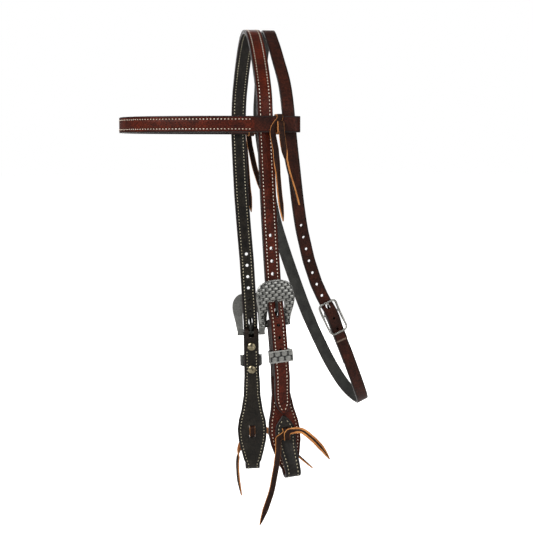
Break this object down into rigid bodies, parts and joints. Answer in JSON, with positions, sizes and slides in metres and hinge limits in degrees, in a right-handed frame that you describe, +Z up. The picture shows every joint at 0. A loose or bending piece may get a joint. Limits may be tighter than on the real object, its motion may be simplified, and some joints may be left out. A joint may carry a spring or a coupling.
{
  "type": "horse bridle",
  "caption": "Western browband headstall: stitched leather crown, browband and cheeks, throatlatch, cart buckles, metal keepers and laced bit ends.",
  "frame": {"origin": "underside of the crown strap at its highest point, where it rests on the poll", "axes": "+Z up, -Y to the front of the horse's head, +X to the near (left) side"},
  "size_m": [0.2032, 0.2618, 0.5181],
  "materials": {
    "browband": "reddish brown leather with cream stitching",
    "browband_lining": "black smooth lining leather",
    "crown_lining": "black smooth lining leather",
    "crown_strap": "reddish brown leather with cream stitching",
    "near_band_tie": "soft dark lace leather with tan edges",
    "near_bit_lace": "soft dark lace leather with tan edges",
    "near_buckle_bar": "antiqued grey metal with basket weave relief",
    "near_buckle_frame": "antiqued grey metal with basket weave relief",
    "near_buckle_tongue": "dark steel",
    "near_cheek": "reddish brown leather with cream stitching",
    "near_cheek_lining": "black smooth lining leather",
    "near_keeper": "antiqued grey metal with basket weave relief",
    "near_lower_screw_barrel": "domed brass plated screw",
    "near_lower_screw_cap": "domed brass plated screw",
    "near_upper_screw_barrel": "domed brass plated screw",
    "near_upper_screw_cap": "domed brass plated screw",
    "off_band_tie": "soft dark lace leather with tan edges",
    "off_bit_lace": "soft dark lace leather with tan edges",
    "off_buckle_bar": "antiqued grey metal with basket weave relief",
    "off_buckle_frame": "antiqued grey metal with basket weave relief",
    "off_buckle_tongue": "dark steel",
    "off_cheek": "reddish brown leather with cream stitching",
    "off_cheek_lining": "black smooth lining leather",
    "off_keeper": "antiqued grey metal with basket weave relief",
    "off_lower_screw_barrel": "domed brass plated screw",
    "off_lower_screw_cap": "domed brass plated screw",
    "off_upper_screw_barrel": "domed brass plated screw",
    "off_upper_screw_cap": "domed brass plated screw",
    "throat_buckle_frame": "bright stainless wire",
    "throat_buckle_tongue": "bright stainless wire",
    "throatlatch_strap": "dark brown plain harness leather"
  },
  "bodies": {
    "headstall": {"crown_lining": "crown_lining", "crown_strap": "crown_strap", "near_bit_lace": "near_bit_lace", "near_buckle_bar": "near_buckle_bar", "near_cheek": "near_cheek", "near_cheek_lining": "near_cheek_lining", "near_lower_screw_barrel": "near_lower_screw_barrel", "near_lower_screw_cap": "near_lower_screw_cap", "near_upper_screw_barrel": "near_upper_screw_barrel", "near_upper_screw_cap": "near_upper_screw_cap", "off_bit_lace": "off_bit_lace", "off_buckle_bar": "off_buckle_bar", "off_cheek": "off_cheek", "off_cheek_lining": "off_cheek_lining", "off_lower_screw_barrel": "off_lower_screw_barrel", "off_lower_screw_cap": "off_lower_screw_cap", "off_upper_screw_barrel": "off_upper_screw_barrel", "off_upper_screw_cap": "off_upper_screw_cap"},
    "near_frame": {"near_buckle_frame": "near_buckle_frame"},
    "near_tongue": {"near_buckle_tongue": "near_buckle_tongue"},
    "near_keeper": {"near_keeper": "near_keeper"},
    "off_frame": {"off_buckle_frame": "off_buckle_frame"},
    "off_tongue": {"off_buckle_tongue": "off_buckle_tongue"},
    "off_keeper": {"off_keeper": "off_keeper"},
    "browband": {"browband": "browband", "browband_lining": "browband_lining", "near_band_tie": "near_band_tie", "off_band_tie": "off_band_tie"},
    "throatlatch": {"throatlatch_strap": "throatlatch_strap"},
    "throat_frame": {"throat_buckle_frame": "throat_buckle_frame"},
    "throat_tongue": {"throat_buckle_tongue": "throat_buckle_tongue"}
  },
  "joints": [
    {"name": "near_buckle_tilt", "type": "hinge", "parent": "headstall", "child": "near_frame", "pos_m": [0.08073, 0.01184, -0.29105], "axis": [-0.1041, 0.9909, 0.0853], "range_deg": [0, 3]},
    {"name": "near_tongue_lift", "type": "hinge", "parent": "near_frame", "child": "near_tongue", "pos_m": [0.08073, 0.01184, -0.29105], "axis": [-0.1041, 0.9909, 0.0853], "range_deg": [0, 3]},
    {"name": "near_keeper_slide", "type": "slide", "parent": "headstall", "child": "near_keeper", "axis": [0, -0.0858, 0.9963], "range_m": [0, 0.007]},
    {"name": "off_buckle_tilt", "type": "hinge", "parent": "headstall", "child": "off_frame", "pos_m": [-0.08073, 0.01345, -0.32302], "axis": [-0.1045, -0.9941, -0.028], "range_deg": [0, 3]},
    {"name": "off_tongue_lift", "type": "hinge", "parent": "off_frame", "child": "off_tongue", "pos_m": [-0.08073, 0.01345, -0.32302], "axis": [-0.1045, -0.9941, -0.028], "range_deg": [0, 3]},
    {"name": "off_keeper_slide", "type": "slide", "parent": "headstall", "child": "off_keeper", "axis": [0, -0.0282, 0.9996], "range_m": [0, 0.007]},
    {"name": "browband_slide", "type": "slide", "parent": "headstall", "child": "browband", "axis": [0, 0, -1], "range_m": [0, 0.003]},
    {"name": "throatlatch_swing", "type": "hinge", "parent": "headstall", "child": "throatlatch", "pos_m": [0, 0.02524, -0.0942], "axis": [1, 0, 0], "range_deg": [-1.5, 1.5]},
    {"name": "throat_buckle_tilt", "type": "hinge", "parent": "throatlatch", "child": "throat_frame", "pos_m": [0.06338, 0.07188, -0.28426], "axis": [0.0008, 0.9047, 0.4261], "range_deg": [0, 1.5]},
    {"name": "throat_tongue_lift", "type": "hinge", "parent": "throat_frame", "child": "throat_tongue", "pos_m": [0.06338, 0.07188, -0.28426], "axis": [0.0008, 0.9047, 0.4261], "range_deg": [0, 3]}
  ]
}
